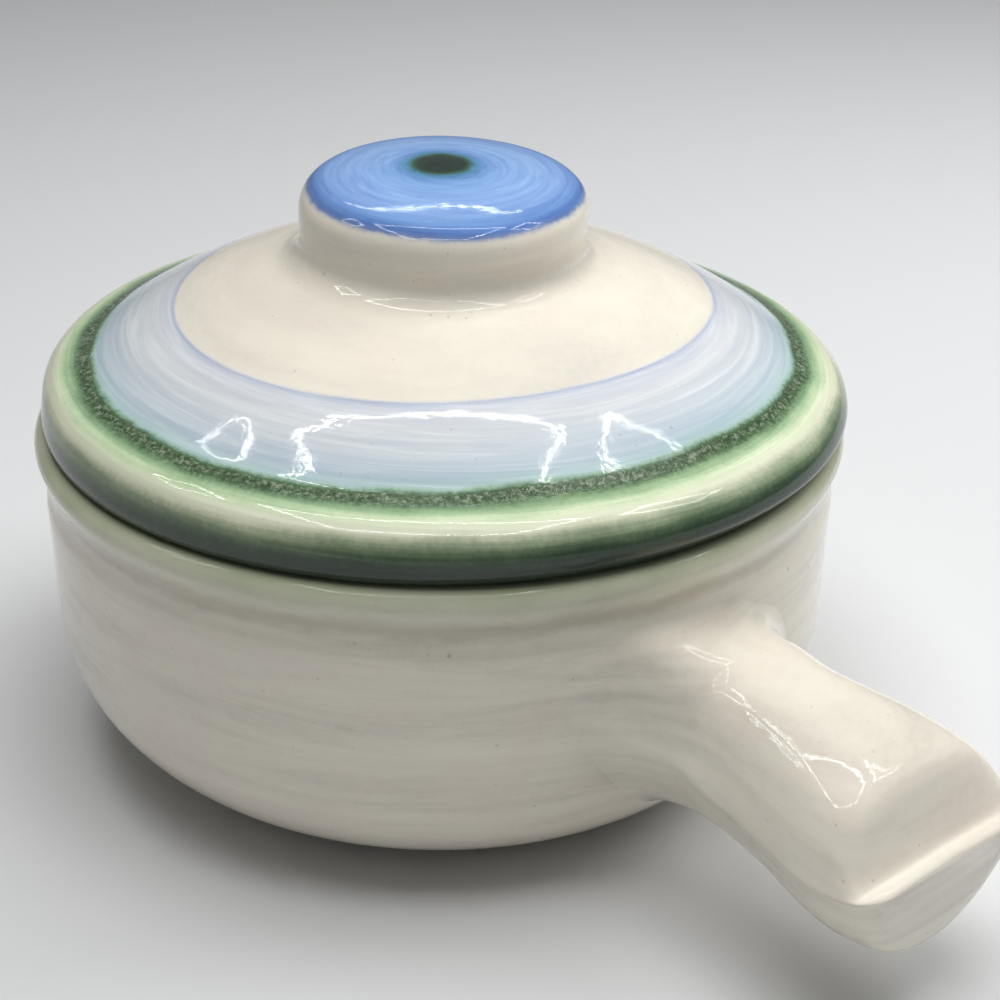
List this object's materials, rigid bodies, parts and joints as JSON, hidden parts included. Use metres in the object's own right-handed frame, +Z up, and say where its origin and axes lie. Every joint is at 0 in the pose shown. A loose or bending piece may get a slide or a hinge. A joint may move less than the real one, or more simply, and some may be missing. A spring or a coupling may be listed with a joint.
{
  "type": "lidded soup bowl",
  "caption": "Round glazed stoneware soup bowl with a stick handle on its side and a loose domed lid that has a rolled edge and a broad low knob.",
  "frame": {"origin": "on the bowl's axis, in the plane that the foot stands on", "axes": "+Z up along the axis of the bowl and lid, +X along the handle, away from the bowl"},
  "size_m": [0.1967, 0.147, 0.1083],
  "materials": {
    "bowl_glaze": "glossy warm off-white glaze with fine specks, pale green at the lip, on stoneware",
    "handle_glaze": "glossy warm off-white glaze with fine specks, on stoneware",
    "lid_glaze": "glossy glaze in rings: pale lavender on the dome, speckled dark green to celadon on the rolled edge",
    "knob_glaze": "glossy sky-blue glaze over off-white sides, with a dark green dot in the middle"
  },
  "bodies": {
    "bowl_body": {"bowl": "bowl_glaze", "handle": "handle_glaze"},
    "lid_body": {"lid": "lid_glaze", "knob": "knob_glaze"}
  },
  "joints": [
    {"name": "lid_lift", "type": "slide", "parent": "bowl_body", "child": "lid_body", "axis": [0, 0, 1], "range_m": [0, 0.12]}
  ]
}
